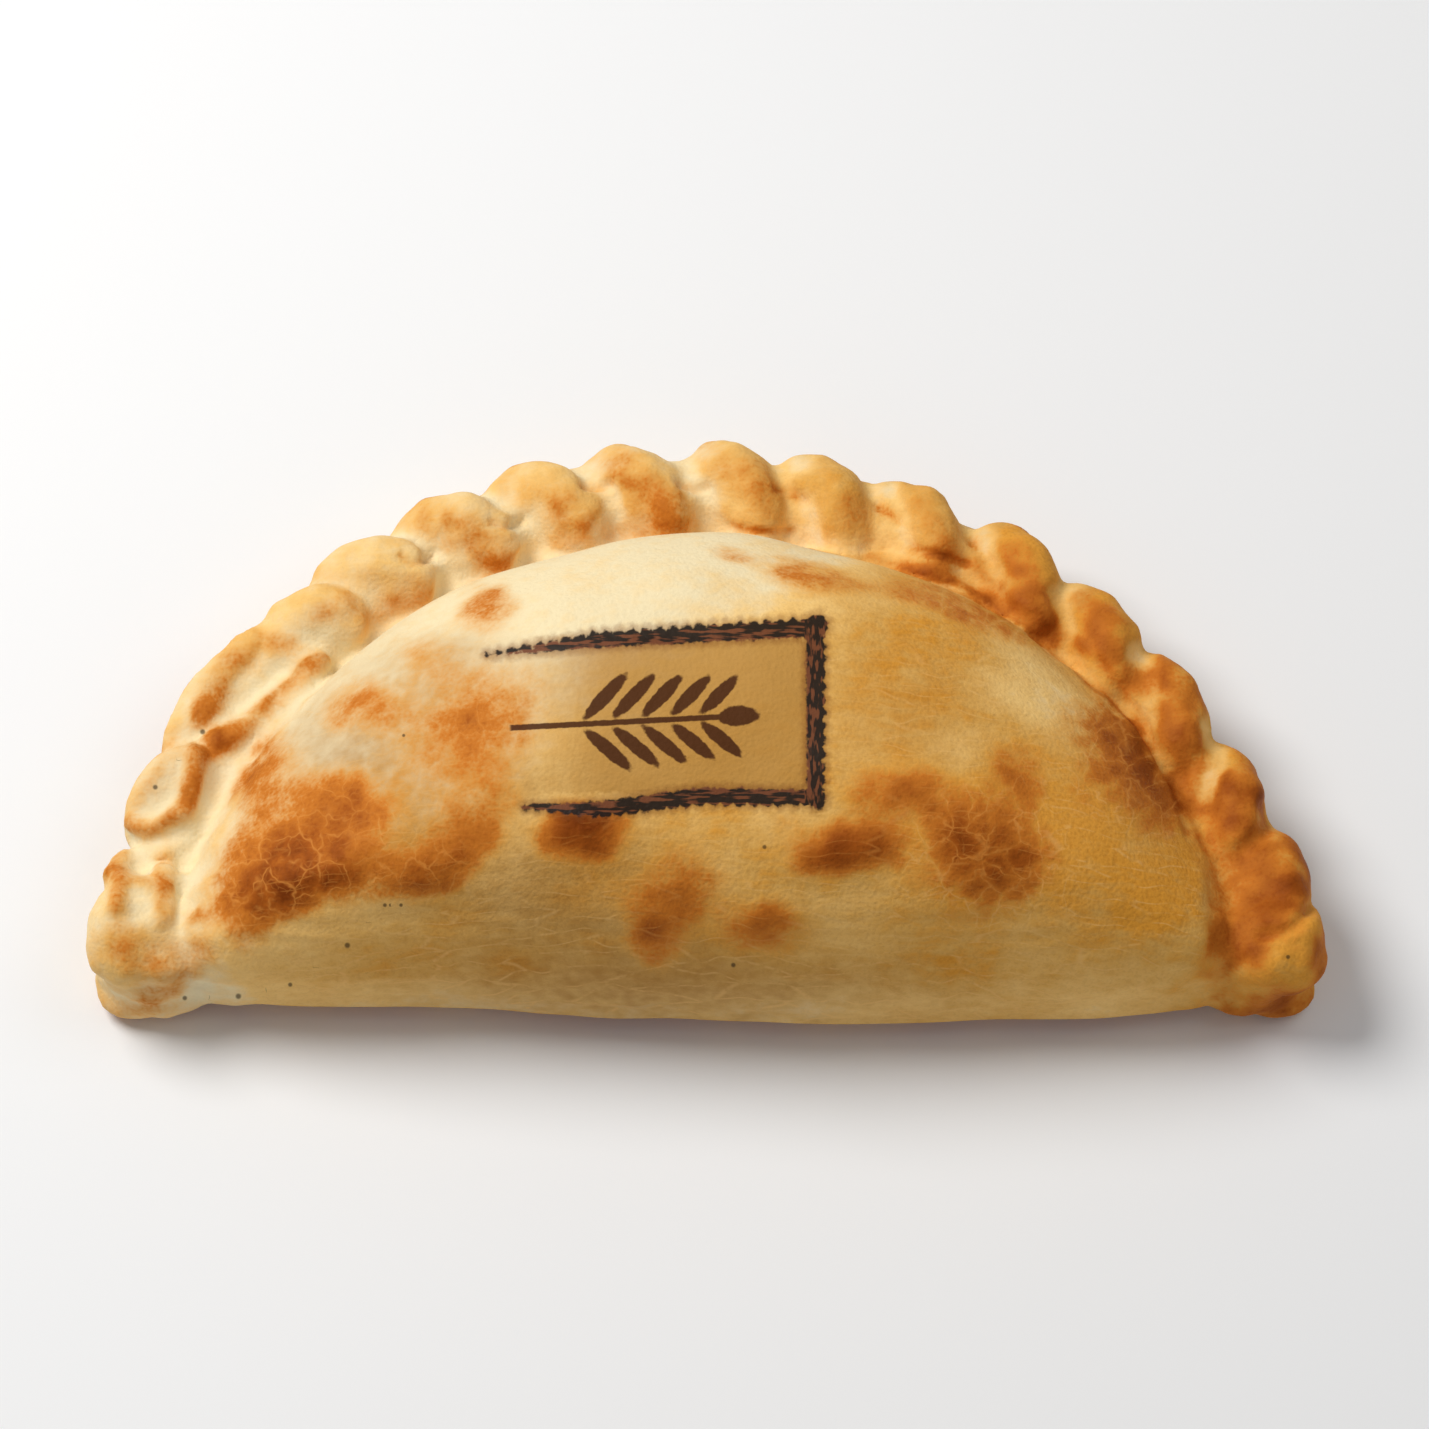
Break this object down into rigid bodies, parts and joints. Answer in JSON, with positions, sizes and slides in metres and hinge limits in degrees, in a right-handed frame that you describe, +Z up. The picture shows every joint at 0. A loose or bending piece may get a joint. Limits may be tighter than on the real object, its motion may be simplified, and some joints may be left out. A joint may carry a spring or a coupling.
{
  "type": "chicken empanada",
  "caption": "Baked half-moon savoury turnover: a domed pocket with a straight fold, a twisted pleated rim round its arc and a flat underside to rest on.",
  "frame": {"origin": "under the middle of the object's box, at the level of its flat underside", "axes": "+X runs along the straight fold to the right, +Y from the fold to the twisted rim, +Z up out of the dome"},
  "size_m": [0.1364, 0.0704, 0.033],
  "materials": {
    "crust": "matte baked dough, pale cream to toasted brown"
  },
  "bodies": {
    "root": {"empanada": "crust"}
  },
  "joints": []
}
